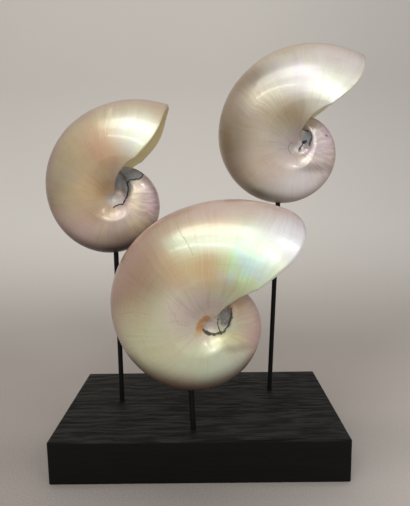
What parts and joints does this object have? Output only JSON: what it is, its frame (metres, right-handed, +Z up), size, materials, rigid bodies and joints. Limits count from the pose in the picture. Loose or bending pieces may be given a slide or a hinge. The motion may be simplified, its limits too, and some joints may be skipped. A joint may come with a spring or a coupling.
{
  "type": "nautilus shell trio on rod stand",
  "caption": "Polished pearl nautilus shells with open living chambers, held on thin black rods above a black-stained oak block, as a free-standing ornament.",
  "frame": {"origin": "centre of the oak block's underside", "axes": "+Z up, +X to the viewer's right along the block's long side, +Y away from the viewer; the shells' flanks face -Y and +Y"},
  "size_m": [0.2535, 0.1423, 0.3273],
  "materials": {
    "stained_oak": "satin",
    "black_rod": "satin",
    "nacre_left": "gloss",
    "nacre_front": "gloss",
    "nacre_right": "gloss"
  },
  "bodies": {
    "root": {"stand_base": "stained_oak", "rod_left": "black_rod", "rod_front": "black_rod", "rod_right": "black_rod", "shell_left": "nacre_left", "shell_front": "nacre_front", "shell_right": "nacre_right"}
  },
  "joints": []
}
